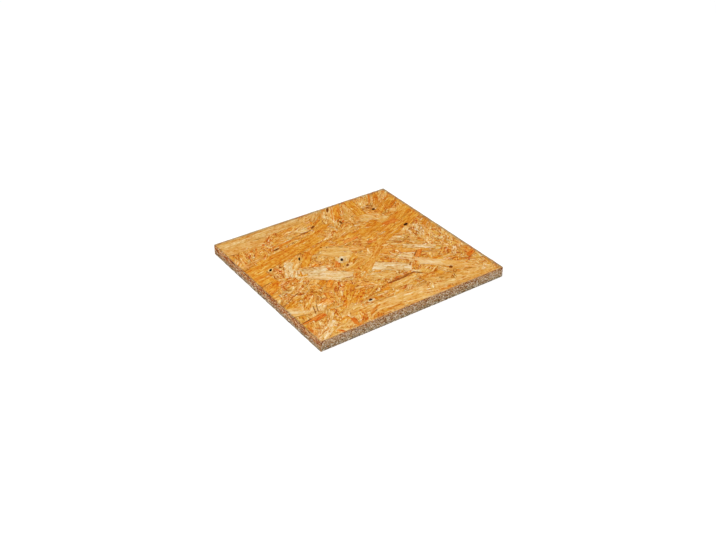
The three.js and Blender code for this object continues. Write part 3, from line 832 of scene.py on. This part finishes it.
def lay_section(pile, blanks, edge, sizes, colours, chance):
    """The strands that show in one saw cut, layer on layer."""
    low, high = sizes.relief, THICKNESS - sizes.relief
    grain = edge.grain
    for layer in range(round((high - low) / sizes.layer_pitch)):
        along = chance.uniform(-grain.most_length, 0)
        while along < edge.run:
            size = (
                chance.uniform(grain.least_length, grain.most_length),
                chance.uniform(grain.least_height, grain.most_height),
            )
            up = low + (layer + chance.uniform(*LAYER_JITTER)) * sizes.layer_pitch
            up = min(max(up, low + size[1] / 2), high - size[1] / 2)
            depth_down = THICKNESS - up
            outer, whole = grain.warmth
            warm = max(outer * (1 - depth_down / WARM_DEPTH), whole * (1 - depth_down / THICKNESS))
            tint = mixed_tint(colours.sawn_dark, colours.sawn_light, chance.uniform(*grain.mix))
            tint = mixed_tint(tint, colours.sawn_warm, min(warm, MOST_WARMTH))
            # Greyer towards the foot
            tint = mixed_tint(tint, colours.dust, max(0, 1 - up / FOOT) * MOST_GREYING)
            piece = Piece(
                place=(along + size[0] / 2, up),
                angle=chance.gauss(0, LAYER_LEAN),
                size=size,
                depth=chance.uniform(LEAST_DEPTH, sizes.edge_relief * DEEPEST_SAWN),
                # A painted contact shadow darkens the very foot
                tint=mixed_tint(tint, colours.grime, max(0, 1 - up / SHADED_FOOT)),
                draw=grain.draw,
            )
            lay(pile, chance.choice(blanks), edge.side, piece, SAWN_WOOD, chance)
            along += size[0] * chance.uniform(*SAWN_STEP)


def new_pile(name):
    pile = bpy.data.collections.new(name)
    bpy.context.scene.collection.children.link(pile)
    return pile


def clear_pile(pile):
    for obj in list(pile.objects):
        mesh = obj.data
        bpy.data.objects.remove(obj)
        bpy.data.meshes.remove(mesh)
    bpy.data.collections.remove(pile)


def join(board, operation, pile=None, tool=None):
    """Join a pile to the board, or cut it with one, by a Boolean modifier that is then applied."""
    modifier = board.modifiers.new(operation.title(), "BOOLEAN")
    modifier.operation = operation
    modifier.solver = "MANIFOLD"
    if pile:
        modifier.operand_type = "COLLECTION"
        modifier.collection = pile
    else:
        modifier.object = tool
    only(board)
    bpy.ops.object.modifier_apply(modifier=modifier.name)


def box_map(mesh):
    """Grain map of a plain block: every face is mapped straight on, in metres."""
    places = get_places(mesh)[corner_vertices(mesh)]
    spots = np.zeros((len(mesh.loops), 2))
    for face in mesh.polygons:
        dropped = max(range(3), key=lambda axis: abs(face.normal[axis]))
        kept = [axis for axis in range(3) if axis != dropped]
        corners = slice(face.loop_start, face.loop_start + face.loop_total)
        spots[corners] = places[corners][:, kept]
    return spots


CORNER_SEGMENTS = 4
BLOCK_LOOK = (0.2, 0.5, 0, 1)  # faint growth rings and no curls


def add_block(name, size, radius, rim, material, tint):
    """A block of the board's outline, its upright corners rounded and its arrises broken."""
    bpy.ops.object.select_all(action="DESELECT")
    bpy.ops.mesh.primitive_cube_add(size=1)
    block = bpy.context.object
    block.name = name
    block.data.transform(Matrix.Translation((LOW + HIGH) / 2) @ Matrix.Diagonal((*size, 1)))
    if radius:
        bevel_edges(block, lambda a, b: abs(a.z - b.z) > size[2] / 2, radius, CORNER_SEGMENTS)
        bevel_edges(block, lambda a, b: abs(a.z - b.z) < rim, rim, 1)
    mesh = block.data
    dress(mesh, material, box_map(mesh), np.ones((len(mesh.loops), 2)), tint, BLOCK_LOOK)
    return block


def bevel_edges(block, wanted, width, segments):
    """Bevel the edges whose two ends pass a test."""
    mesh = block.data
    bpy.ops.object.mode_set(mode="EDIT")
    bpy.ops.mesh.select_mode(type="EDGE")
    bpy.ops.mesh.select_all(action="DESELECT")
    bpy.ops.object.mode_set(mode="OBJECT")
    for edge in mesh.edges:
        edge.select = wanted(*(mesh.vertices[number].co for number in edge.vertices))
    bpy.ops.object.mode_set(mode="EDIT")
    bpy.ops.mesh.bevel(offset=width, segments=segments, affect="EDGES", profile=0.5)
    bpy.ops.object.mode_set(mode="OBJECT")


def open_void(pile, ball, side, pit, material, tint, chance):
    """An oval hollow with a broken rim, cut into a side of the board."""
    mesh = ball.copy()
    places = get_places(mesh)
    rim_map = places[corner_vertices(mesh)][:, :2]
    for spot in places:
        spot *= 1 + chance.uniform(-VOID_WAVER, VOID_WAVER)
    set_places(mesh, places)
    half = (pit.length / 2, pit.width / 2)
    mesh.transform(
        side
        @ Matrix.Translation((pit.x, pit.y, 0))
        @ Matrix.Rotation(pit.angle, 4, "Z")
        @ Matrix.Diagonal((*half, pit.depth, 1))
    )
    grain = rim_map * half + chance.uniform(0, GRAIN_SPAN)
    dress(mesh, material, grain, rim_map, tint, (0, chance.random(), 0, 1))
    pile.objects.link(bpy.data.objects.new(mesh.name, mesh))


def in_metres(pit):
    return Pit(*(value * MM for value in pit))._replace(angle=math.radians(pit.angle))


def open_voids(pile, sizes, colours, chance):
    """Knot holes, splits and pinholes in the top, gaps in the edges, and chipped arrises."""
    bpy.ops.object.select_all(action="DESELECT")
    bpy.ops.mesh.primitive_uv_sphere_add(segments=VOID_SEGMENTS, ring_count=VOID_RINGS, radius=1)
    maker = bpy.context.object
    ball = maker.data
    for pit in KNOTS + GAPS + SPECKS:
        # Deep hollows take painted shade; shallow ones show the bark's own colour
        tint = colours.void if pit.depth > SHALLOW else colours.bark
        open_void(pile, ball, TOP, in_metres(pit), OPEN_GRAIN, tint, chance)
    for edge in EDGES:
        for number in range(EDGE_VOIDS):
            gap = Pit(
                x=(number + chance.uniform(*EDGE_VOID_PLACE)) * edge.run / EDGE_VOIDS,
                y=chance.uniform(EDGE_VOID_MARGIN, THICKNESS - EDGE_VOID_MARGIN),
                angle=chance.gauss(0, EDGE_VOID_LEAN),
                length=chance.uniform(*EDGE_VOID_LENGTH),
                width=chance.uniform(*EDGE_VOID_HEIGHT),
                depth=chance.uniform(*EDGE_VOID_DEPTH),
            )
            open_void(pile, ball, edge.side, gap, OPEN_GRAIN, colours.bark, chance)
        for level in (0, THICKNESS):
            for _ in range(ARRIS_CHIPS):
                reach = chance.uniform(*ARRIS_CHIP_REACH)
                nick = Pit(
                    x=chance.uniform(0, edge.run),
                    y=level,
                    angle=0,
                    length=chance.uniform(*ARRIS_CHIP_LENGTH),
                    width=reach,
                    depth=reach,
                )
                open_void(pile, ball, edge.side, nick, SAWN_WOOD, colours.sawn_dark, chance)
    # The left edge's long gaps are filled with painted shade
    for gap in LEFT_GAPS:
        open_void(pile, ball, EDGES[3].side, in_metres(gap), OPEN_GRAIN, colours.void, chance)
    off = CORNER_CHIP_RADIUS - CORNER_CHIP_BITE
    across = 2 * CORNER_CHIP_RADIUS
    corner = Pit(LENGTH + off, -off, 0, across, across, CORNER_CHIP_RADIUS)
    open_void(pile, ball, TOP, corner, SAWN_WOOD, colours.sawn_warm, chance)
    bpy.data.objects.remove(maker)


# Rows of the flat map, from its foot up: shares of its height, and the bare gap between rows
EDGE_ROW, FACE_ROW, UNDER_ROW = 0.035, 0.52, 0.34
ROW_GAP = 0.004
EDGE_REACH = 2.5 * MM  # how far in from the sides an open gap still belongs to the edge


def add_flat_map(mesh):
    """Lay the finished board out flat: its four sawn edges in strips, then the underside and the top."""
    count = len(mesh.polygons)
    centres, material, corners = np.empty(count * 3), np.empty(count, np.int32), np.empty(count, np.int32)
    mesh.polygons.foreach_get("center", centres)
    mesh.polygons.foreach_get("material_index", material)
    mesh.polygons.foreach_get("loop_total", corners)
    x, y, z = centres.reshape(-1, 3).T
    inward = np.stack((y - LOW.y, HIGH.x - x, HIGH.y - y, x - LOW.x))
    on_edge = (material == SAWN_WOOD) | ((material == OPEN_GRAIN) & (inward.min(0) < EDGE_REACH))
    on_face = np.where(z > (LOW.z + HIGH.z) / 2, len(EDGES) + 1, len(EDGES))
    row = np.repeat(np.where(on_edge, inward.argmin(0), on_face), corners)

    rows = [(edge.side, edge.run, THICKNESS, EDGE_ROW) for edge in EDGES]
    rows += [(UNDER, LENGTH, WIDTH, UNDER_ROW), (TOP, LENGTH, WIDTH, FACE_ROW)]
    places = get_places(mesh)[corner_vertices(mesh)]
    flat = np.empty((len(mesh.loops), 2), np.float32)
    foot = 0.0
    for number, (side, run, height, share) in enumerate(rows):
        here = row == number
        turn = np.array(side.inverted())
        local = places[here] @ turn[:2, :3].T + turn[:2, 3]
        flat[here] = local / (run, height) * (1 - ROW_GAP, share - ROW_GAP) + (ROW_GAP / 2, foot)
        foot += share
    mesh.uv_layers.new(name=FLAT_MAP).data.foreach_set("uv", flat.ravel())


def add_node(tree, kind, sockets=None, **settings):
    """Add a node, set its settings, and link or set its sockets."""
    node = tree.nodes.new("ShaderNode" + kind)
    for name, value in settings.items():
        setattr(node, name, value)
    for key, value in (sockets or {}).items():
        if isinstance(value, bpy.types.NodeSocket):
            tree.links.new(value, node.inputs[key])
        else:
            node.inputs[key].default_value = value
    return node


def new_material(name):
    """An empty node material and its tree."""
    material = bpy.data.materials.new(name)
    material.use_nodes = True
    material.node_tree.nodes.clear()
    return material, material.node_tree


def finish_wood(tree, colour, height, surface):
    """Give a wood its shader, with its colour, its raised grain and the way it takes light."""
    heights = {"Height": height, "Strength": surface.bump, "Distance": surface.relief}
    bump = add_node(tree, "Bump", heights, invert=surface.dark_is_low)
    shader = add_node(
        tree,
        "BsdfPrincipled",
        {
            "Base Color": colour,
            "Roughness": surface.roughness,
            "Specular IOR Level": surface.specular,
            "IOR": WOOD_IOR,
            "Normal": bump.outputs[0],
        },
    )
    add_node(tree, "OutputMaterial", {"Surface": shader.outputs[0]})


# Patterns in the wood: grain size along and across in millimetres, noise detail, and the range of the
# noise that is stretched over a range of values
Pattern = namedtuple("Pattern", "along across detail low high first last")
# What each pattern adds to the depth of a strand's colour, where 1 is the colour as dealt
STRAND_DEPTHS = {
    "fibre": Pattern(9, 0.5, 3, 0.30, 0.70, 0.24, -0.24),
    "streak": Pattern(24, 1.8, 3, 0.30, 0.70, 0.32, -0.32),
    "band": Pattern(50, 4.0, 2, 0.30, 0.70, 0.16, -0.16),
    "stain": Pattern(24, 8, 3, 0.42, 0.72, 0.0, 0.5),
}
# The same for spots that show most on torn, curly pieces
SPOT_DEPTHS = {
    "mottle": Pattern(6.0, 3.4, 3, 0.30, 0.70, 0.50, -0.46),
    "fleck": Pattern(5.0, 1.5, 2, 0.57, 0.65, 0.0, 2.3),
    "glint": Pattern(6.0, 2.2, 2, 0.56, 0.68, 0.0, -0.62),
    "bleach": Pattern(18, 6, 2, 0.50, 0.74, 0.0, -0.65),
}
LEAST_SPOTS = 0.35  # how strong they are on a smooth piece
PALEST = 0.32  # the least depth of a colour
CURL_TURNS = 4.5  # rings in the full range of the curl pattern
STRAND_SHARES = {
    "wander": Pattern(80, 7, 2, 0.0, 1.0, 0.0, 6.0),
    "fade": Pattern(30, 12, 2, 0.36, 0.62, 0.1, 1.0),
    "dip_shade": Pattern(12, 9, 2, 0.45, 0.62, 0.05, 0.85),
    "curl": Pattern(11, 6, 1, 0.0, 1.0, 0.0, CURL_TURNS),
    "torn": Pattern(16, 10, 2, 0.44, 0.58, 0.0, 1.0),
    "arris_shade": Pattern(9, 6, 2, 0.36, 0.60, 0.5, 1.0),
    "front_light": Pattern(12, 8, 2, 0.36, 0.60, 0.0, 0.6),
}
# Shares of other wood colours in a piece, also for torn, curly pieces
TINT_SHARES = {
    "honey": Pattern(18, 10, 2, 0.42, 0.66, 0.0, 0.28),
    "blush": Pattern(13, 7, 2, 0.52, 0.68, 0.0, 0.36),
    "sallow": Pattern(12, 7, 2, 0.52, 0.68, 0.0, 0.36),
}
SECTION_DEPTHS = {
    "layer": Pattern(6, 1.0, 3, 0.30, 0.70, 0.12, -0.12),
    "grit": Pattern(1.3, 1.0, 1, 0.30, 0.70, 1.0, -0.85),
}
SECTION_SHARES = {
    "dirt": Pattern(10, 4, 2, 0.50, 0.72, 0.0, 0.12),
    "pore": Pattern(1.8, 1.2, 1, 0.60, 0.68, 0.0, 0.15),
}
OPEN_SHARES = {"crumb": Pattern(0.9, 0.9, 3, 0.0, 1.0, 0.0, 0.3)}
RING_PITCH = (1.8 * MM, 4.6 * MM)
RING_DEPTH = 1.1  # what a dark growth-ring line adds to the depth of the colour
RING_SHARPNESS = 4.0
CURL_DEPTH = 2.5
CURL_SHARPNESS = 3.0
SPECKLE = (1.35 * MM, 1.2 * MM)  # broken fibre bundles, drawn about three times as coarse as they are
SPECKLE_DEPTHS = (-1.2, 1.7)
WOOD_IOR = 1.5
# How a wood takes light, how strongly its grain is drawn in relief and how high it stands
Surface = namedtuple("Surface", "roughness specular bump relief dark_is_low")
STRAND_SURFACE = Surface(0.62, 0.06, 1.0, 0.16 * MM, True)
SAWN_SURFACE = Surface(0.9, 0.2, 0.9, 0.13 * MM, True)
OPEN_SURFACE = Surface(1.0, 0.02, 1.0, 0.3 * MM, False)
HOLLOW_RIM = (1.05, 1.35)  # where the bottom of a hollow gives way to its rim, in its half sizes
PATTERN_SHIFT = (7.3, 3.1, 1.7)  # from one pattern to the next, so that no two fall together
PATTERN_ROUGHNESS = 0.55
NEAR_REACH = 2.5 * MM  # along the left border: painted shade under the arris
FAR_SHADE_REACH = 6 * MM  # along the two far borders: painted shade along the arrises
FRONT_LIGHT_REACH, RIM_REACH = 3.5 * MM, 1.5 * MM  # along the front border, a painted highlight, with a dark rim of painted shade
WAVE_SHARE = 2.5  # how much higher the waves of torn grain stand than the fibre lines


def grain_patterns(tree, grain, patterns):
    """The outputs of a set of patterns, by name."""
    made = {}
    for number, (name, pattern) in enumerate(patterns.items()):
        scale = (1 / (pattern.along * MM), 1 / (pattern.across * MM), 1)
        apart = [number * shift for shift in PATTERN_SHIFT]
        place = add_node(tree, "Mapping", {"Vector": grain, "Location": apart, "Scale": scale})
        sockets = {"Scale": 1.0, "Detail": pattern.detail, "Roughness": PATTERN_ROUGHNESS}
        noise = add_node(tree, "TexNoise", {"Vector": place.outputs[0], **sockets})
        spans = {"From Min": pattern.low, "From Max": pattern.high}
        spans |= {"To Min": pattern.first, "To Max": pattern.last}
        made[name] = add_node(
            tree, "MapRange", {"Value": noise.outputs["Fac"], **spans}
        ).outputs["Result"]
    return made


def deepened(tree, colour, depths):
    """A colour as deep as the sum of some depths over 1, the way more resin or heat deepens wood."""
    depth = 1.0
    for part in depths:
        depth = add_node(tree, "Math", {0: depth, 1: part}, operation="ADD").outputs[0]
    depth = add_node(tree, "Math", {0: depth, 1: PALEST}, operation="MAXIMUM").outputs[0]
    return add_node(tree, "Gamma", {"Color": colour, "Gamma": depth}).outputs[0]


def blended(tree, colour, layers):
    """Lay colours over a colour, one after the other, each with its share."""
    for share, laid in layers:
        mix = add_node(tree, "Mix", {0: share, 6: colour, 7: laid}, data_type="RGBA")
        colour = mix.outputs[2]
    return colour


def ring_lines(tree, phase, sharpness, strengths):
    """Dark lines that start sharp and fade, once in each whole step of the phase."""
    within = add_node(tree, "Math", {0: phase}, operation="FRACT")
    line = add_node(tree, "Math", {0: within.outputs[0], 1: sharpness}, operation="POWER")
    for strength in strengths:
        line = add_node(tree, "Math", {0: line.outputs[0], 1: strength}, operation="MULTIPLY")
    return line.outputs[0]


def near_border(tree, places, axis, border, reach):
    """A share from 1 on one border of the face to 0 as far in as the reach."""
    inner = border - math.copysign(reach, border)
    spans = {"Value": places[axis], "From Min": inner, "From Max": border}
    return add_node(tree, "MapRange", spans).outputs[0]


def make_strand_wood(colours):
    """Knife-cut softwood strands, waxed, resined and pressed hot: smooth and faintly glossy along the
    grain, with fine fibre lines, growth rings, and painted shade lines where one strand dips under another.
    Painted shade runs along the arrises of the top, and a painted highlight along its front border."""
    material, tree = new_material("Pressed softwood strand")
    grain = add_node(tree, "UVMap", uv_map=GRAIN_MAP).outputs[0]
    rim = add_node(tree, "UVMap", uv_map=RIM_MAP).outputs[0]
    tint = add_node(tree, "Attribute", attribute_name=TINT).outputs["Color"]
    look = add_node(tree, "Attribute", attribute_name=LOOK).outputs["Color"]
    ring_contrast, chance, curliness = add_node(tree, "SeparateColor", {0: look}).outputs
    depths = grain_patterns(tree, grain, STRAND_DEPTHS)
    spots = grain_patterns(tree, grain, SPOT_DEPTHS)
    shares = grain_patterns(tree, grain, STRAND_SHARES)
    spotted = add_node(tree, "MapRange", {"Value": curliness, "To Min": LEAST_SPOTS}).outputs[0]
    for name, depth in spots.items():
        part = add_node(tree, "Math", {0: depth, 1: spotted}, operation="MULTIPLY")
        depths[name] = part.outputs[0]

    across = add_node(tree, "SeparateXYZ", {0: grain}).outputs[1]
    pitches = {"To Min": 1 / RING_PITCH[0], "To Max": 1 / RING_PITCH[1]}
    pitch = add_node(tree, "MapRange", {"Value": chance, **pitches}).outputs[0]
    terms = {0: across, 1: pitch, 2: shares["wander"]}
    phase = add_node(tree, "Math", terms, operation="MULTIPLY_ADD").outputs[0]
    rings = ring_lines(tree, phase, RING_SHARPNESS, (ring_contrast, shares["fade"], RING_DEPTH))
    curls = ring_lines(tree, shares["curl"], CURL_SHARPNESS, (curliness, shares["torn"], CURL_DEPTH))

    # Painted shade near every piece's rim, where it dips under its neighbour
    inside = add_node(tree, "SeparateXYZ", {0: rim}).outputs[0]
    near_rim = add_node(tree, "Math", {0: 1.0, 1: inside}, operation="SUBTRACT").outputs[0]
    rim_shade = add_node(tree, "Math", {0: near_rim, 1: shares["dip_shade"]}, operation="MULTIPLY")
    films = []
    for name, share in grain_patterns(tree, grain, TINT_SHARES).items():
        part = add_node(tree, "Math", {0: share, 1: spotted}, operation="MULTIPLY")
        films.append((part.outputs[0], getattr(colours, name)))
    colour = blended(tree, tint, films)
    colour = deepened(tree, colour, (*depths.values(), rings, curls))
    colour = blended(tree, colour, ((rim_shade.outputs[0], colours.crevice),))
    spot = add_node(tree, "TexCoord").outputs["Object"]
    places = add_node(tree, "SeparateXYZ", {0: spot}).outputs
    # Painted shade along the left, far and front arrises of the top, and a painted highlight along its front
    # border
    for axis, border, reach, share, laid in (
        (0, LOW.x, NEAR_REACH, shares["arris_shade"], colours.sawn_dark),
        (0, HIGH.x, FAR_SHADE_REACH, shares["arris_shade"], colours.grime),
        (1, HIGH.y, FAR_SHADE_REACH, shares["arris_shade"], colours.grime),
        (1, LOW.y, FRONT_LIGHT_REACH, shares["front_light"], colours.pale),
        (1, LOW.y, RIM_REACH, shares["arris_shade"], colours.sawn_dark),
    ):
        near = near_border(tree, places, axis, border, reach)
        part = add_node(tree, "Math", {0: near, 1: share}, operation="MULTIPLY")
        colour = blended(tree, colour, ((part.outputs[0], laid),))
    terms = {0: curls, 1: WAVE_SHARE, 2: depths["fibre"]}
    height = add_node(tree, "Math", terms, operation="MULTIPLY_ADD").outputs[0]
    for name in ("streak", "mottle"):
        height = add_node(tree, "Math", {0: height, 1: depths[name]}, operation="ADD").outputs[0]
    finish_wood(tree, colour, height, STRAND_SURFACE)
    return material


def make_sawn_wood(colours):
    """Strands cut across by a circular saw: matt, dusty and torn, light and dark fibre ends mixed."""
    material, tree = new_material("Sawn strand section")
    grain = add_node(tree, "UVMap", uv_map=GRAIN_MAP).outputs[0]
    tint = add_node(tree, "Attribute", attribute_name=TINT).outputs["Color"]
    depths = grain_patterns(tree, grain, SECTION_DEPTHS)
    shares = grain_patterns(tree, grain, SECTION_SHARES)
    scale = (1 / SPECKLE[0], 1 / SPECKLE[1], 1)
    place = add_node(tree, "Mapping", {"Vector": grain, "Scale": scale})
    cells = add_node(tree, "TexVoronoi", {"Vector": place.outputs[0], "Scale": 1.0})
    picked = add_node(tree, "SeparateColor", {0: cells.outputs["Color"]})
    least, most = SPECKLE_DEPTHS
    spans = {"To Min": least, "To Max": most}
    speckle = add_node(tree, "MapRange", {"Value": picked.outputs[0], **spans}).outputs[0]
    colour = deepened(tree, tint, (speckle, *depths.values()))
    # Pores take the painted shade of open hollows
    colour = blended(tree, colour, ((shares["dirt"], colours.sawn_dark), (shares["pore"], colours.void)))
    height = add_node(tree, "Math", {0: speckle, 1: depths["grit"]}, operation="ADD")
    finish_wood(tree, colour, height.outputs[0], SAWN_SURFACE)
    return material


def make_open_grain(colours):
    """Bark and broken fibre at the bottom of knots and gaps: rough and dry, deep ones dark with painted
    shade, browner at the rim, where the crevice's painted shade takes over.
    """
    material, tree = new_material("Dark open grain")
    rim = add_node(tree, "UVMap", uv_map=RIM_MAP).outputs[0]
    grain = add_node(tree, "UVMap", uv_map=GRAIN_MAP).outputs[0]
    tint = add_node(tree, "Attribute", attribute_name=TINT).outputs["Color"]
    crumb = grain_patterns(tree, grain, OPEN_SHARES)["crumb"]
    reach = add_node(tree, "VectorMath", {0: rim}, operation="LENGTH").outputs["Value"]
    rough_reach = add_node(tree, "Math", {0: reach, 1: crumb}, operation="ADD").outputs[0]
    spans = {"From Min": HOLLOW_RIM[0], "From Max": HOLLOW_RIM[1]}
    share = add_node(tree, "MapRange", {"Value": rough_reach, **spans}).outputs[0]
    # Towards the rim the colour turns to the crevice's painted shade
    colour = blended(tree, tint, ((share, colours.crevice),))
    finish_wood(tree, colour, crumb, OPEN_SURFACE)
    return material


class AddStrandBoard(bpy.types.Operator):
    """Lay, press and saw the panel of oriented strand board"""

    bl_idname = "strand_board.add_board"
    bl_label = "Add Strand Board"

    def execute(self, context):
        sizes = context.scene.strand_board_sizes
        colours = context.scene.strand_board_colours
        blanks = {name: cut_blanks(name, cut) for name, cut in CUTS.items()}
        bark = [
            Collar(gap.x, gap.y, gap.angle, gap.length + BARK_RING, gap.width + BARK_RING, "brown")
            for gap in GAPS
        ]
        collars = [(spot, LEAST_DEPTH) for spot in COLLARS] + [(spot, LEAST_DEPTH / 2) for spot in bark]
        strands = new_pile("strands")
        for seed, *face in (
            (sizes.face_seed, TOP, FACE_STRANDS, collars, PATCHES, TOP_LOOSE),
            (sizes.underside_seed, UNDER, UNDER_STRANDS, (), (), UNDER_LOOSE),
        ):
            lay_face(strands, *face, blanks, sizes, colours, random.Random(seed))

        allowance = 2 * MAT_ALLOWANCE
        mat_size = (LENGTH + allowance, WIDTH + allowance, THICKNESS - 2 * sizes.relief)
        saw_size = (LENGTH - 2 * sizes.edge_relief, WIDTH - 2 * sizes.edge_relief, THICKNESS)
        rounding = (sizes.corner_radius, sizes.arris)
        sawn_tint = mixed_tint(colours.sawn_dark, colours.sawn_light, SAWN_LIGHTNESS)
        board = add_block("osb_board", mat_size, 0, 0, STRAND_WOOD, colours.honey)
        outer_tint = mixed_tint(sawn_tint, colours.sawn_warm, OUTER_WARMTH)
        saw = add_block("saw_cut", saw_size, *rounding, SAWN_WOOD, outer_tint)
        arris_tint = mixed_tint(colours.sawn_dark, colours.sawn_warm, ARRIS_WARMTH)
        outline = add_block("outline", (LENGTH, WIDTH, THICKNESS), *rounding, SAWN_WOOD, arris_tint)

        chance = random.Random(sizes.edge_seed)
        sections = new_pile("sections")
        for edge in EDGES:
            lay_section(sections, blanks["section"], edge, sizes, colours, chance)
        voids = new_pile("voids")
        open_voids(voids, sizes, colours, chance)

        materials = [make(colours) for make in (make_strand_wood, make_sawn_wood, make_open_grain)]
        for obj in (board, saw, outline, *strands.objects, *sections.objects, *voids.objects):
            for material in materials:
                obj.data.materials.append(material)
        join(board, "UNION", pile=strands)
        join(board, "INTERSECT", tool=saw)
        join(board, "UNION", pile=sections)
        join(board, "INTERSECT", tool=outline)
        join(board, "DIFFERENCE", pile=voids)
        for pile in (strands, sections, voids):
            clear_pile(pile)
        for tool in (saw, outline):
            bpy.data.objects.remove(tool)
        add_flat_map(board.data)
        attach(board, BODY)
        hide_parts(NODE)
        return {"FINISHED"}


class AddStage(bpy.types.Operator):
    """Add the plain white floor, the soft lamps and the camera"""

    bl_idname = "strand_board.add_stage"
    bl_label = "Add Stage"

    def execute(self, context):
        stage = context.scene.strand_board_stage
        bpy.ops.object.select_all(action="DESELECT")
        bpy.ops.mesh.primitive_plane_add(size=stage.floor_size)
        floor = context.object
        floor.name = "floor"
        floor.data.materials.append(make_floor(stage.floor_colour))
        for lamp in LAMPS:
            add_lamp(lamp)
        context.scene.world = make_daylight(stage.daylight)
        bpy.ops.object.camera_add(location=stage.camera_place, rotation=stage.camera_turn)
        camera = context.object
        camera.data.lens = stage.focal_length
        camera.data.sensor_width = SENSOR_WIDTH
        camera.data.clip_end = CLIP_END
        context.scene.camera = camera
        context.scene.view_settings.view_transform = "Standard"
        return {"FINISHED"}


Lamp = namedtuple("Lamp", "name place size power")
LAMPS = (
    Lamp("key_lamp", (-0.9, -0.2, 1.9), 1.6, 29.4),
    Lamp("fill_lamp", (1.4, -1.6, 1.2), 1.6, 10.4),
)
SENSOR_WIDTH = 36.0
CLIP_END = 50.0
FLOOR_ROUGHNESS = 0.9
FLOOR_GLOW = 1.25
FLOOR_GLOW_SHARE = 0.6
WHITE = (1, 1, 1, 1)


def seen_directly(tree):
    """1 for rays that come from the eye, straight or by way of gloss or glass, and 0 for the rest."""
    paths = add_node(tree, "LightPath").outputs
    seen = paths["Is Camera Ray"]
    for name in ("Is Glossy Ray", "Is Transmission Ray"):
        seen = add_node(tree, "Math", {0: seen, 1: paths[name]}, operation="MAXIMUM").outputs[0]
    return seen


def make_floor(colour):
    """Matt white paper: it shows as white to the eye and keeps a faint shadow."""
    material, tree = new_material("White paper floor")
    seen = seen_directly(tree)
    share = add_node(tree, "Math", {0: seen, 1: FLOOR_GLOW_SHARE}, operation="MULTIPLY")
    paper = add_node(tree, "BsdfPrincipled", {"Base Color": colour, "Roughness": FLOOR_ROUGHNESS})
    glow = add_node(tree, "Emission", {"Color": WHITE, "Strength": FLOOR_GLOW})
    shaders = {0: share.outputs[0], 1: paper.outputs[0], 2: glow.outputs[0]}
    both = add_node(tree, "MixShader", shaders)
    add_node(tree, "OutputMaterial", {"Surface": both.outputs[0]})
    return material


def make_daylight(strength):
    """Soft light from all round, behind which the backdrop shows white."""
    world = bpy.data.worlds.new("Soft studio")
    world.use_nodes = True
    tree = world.node_tree
    background = tree.nodes["Background"]
    background.inputs["Color"].default_value = WHITE
    spans = {"To Min": strength, "To Max": 1.0}
    power = add_node(tree, "MapRange", {"Value": seen_directly(tree), **spans})
    tree.links.new(power.outputs[0], background.inputs["Strength"])
    return world


def add_lamp(lamp):
    """A square soft box, turned to the middle of the board."""
    turn = (-Vector(lamp.place)).to_track_quat("-Z", "Y").to_euler()
    bpy.ops.object.light_add(type="AREA", location=lamp.place, rotation=turn)
    light = bpy.context.object
    light.name = lamp.name
    light.data.size = lamp.size
    light.data.energy = lamp.power


class StrandBoardPanel(bpy.types.Panel):
    """Sizes, colours and the two steps that make the board and its stage"""

    bl_idname = "VIEW3D_PT_strand_board"
    bl_label = "Strand Board"
    bl_space_type = "VIEW_3D"
    bl_region_type = "UI"
    bl_category = "Strand Board"

    def draw(self, context):
        scene = context.scene
        for settings in (scene.strand_board_sizes, scene.strand_board_colours, scene.strand_board_stage):
            box = self.layout.box()
            for name in settings.bl_rna.properties.keys():
                if name not in ("rna_type", "name"):
                    box.prop(settings, name)
        self.layout.operator(AddStrandBoard.bl_idname)
        self.layout.operator(AddStage.bl_idname)


CLASSES = (
    StrandBoardSizes,
    StrandBoardColours,
    StageSettings,
    AddStrandBoard,
    AddStage,
    StrandBoardPanel,
)


def register():
    for cls in CLASSES:
        bpy.utils.register_class(cls)
    bpy.types.Scene.strand_board_sizes = PointerProperty(type=StrandBoardSizes)
    bpy.types.Scene.strand_board_colours = PointerProperty(type=StrandBoardColours)
    bpy.types.Scene.strand_board_stage = PointerProperty(type=StageSettings)


def unregister():
    del bpy.types.Scene.strand_board_stage
    del bpy.types.Scene.strand_board_colours
    del bpy.types.Scene.strand_board_sizes
    for cls in reversed(CLASSES):
        bpy.utils.unregister_class(cls)


def main():
    register()
    bpy.ops.strand_board.add_board()
    bpy.ops.strand_board.add_stage()


if __name__ == "__main__":
    main()
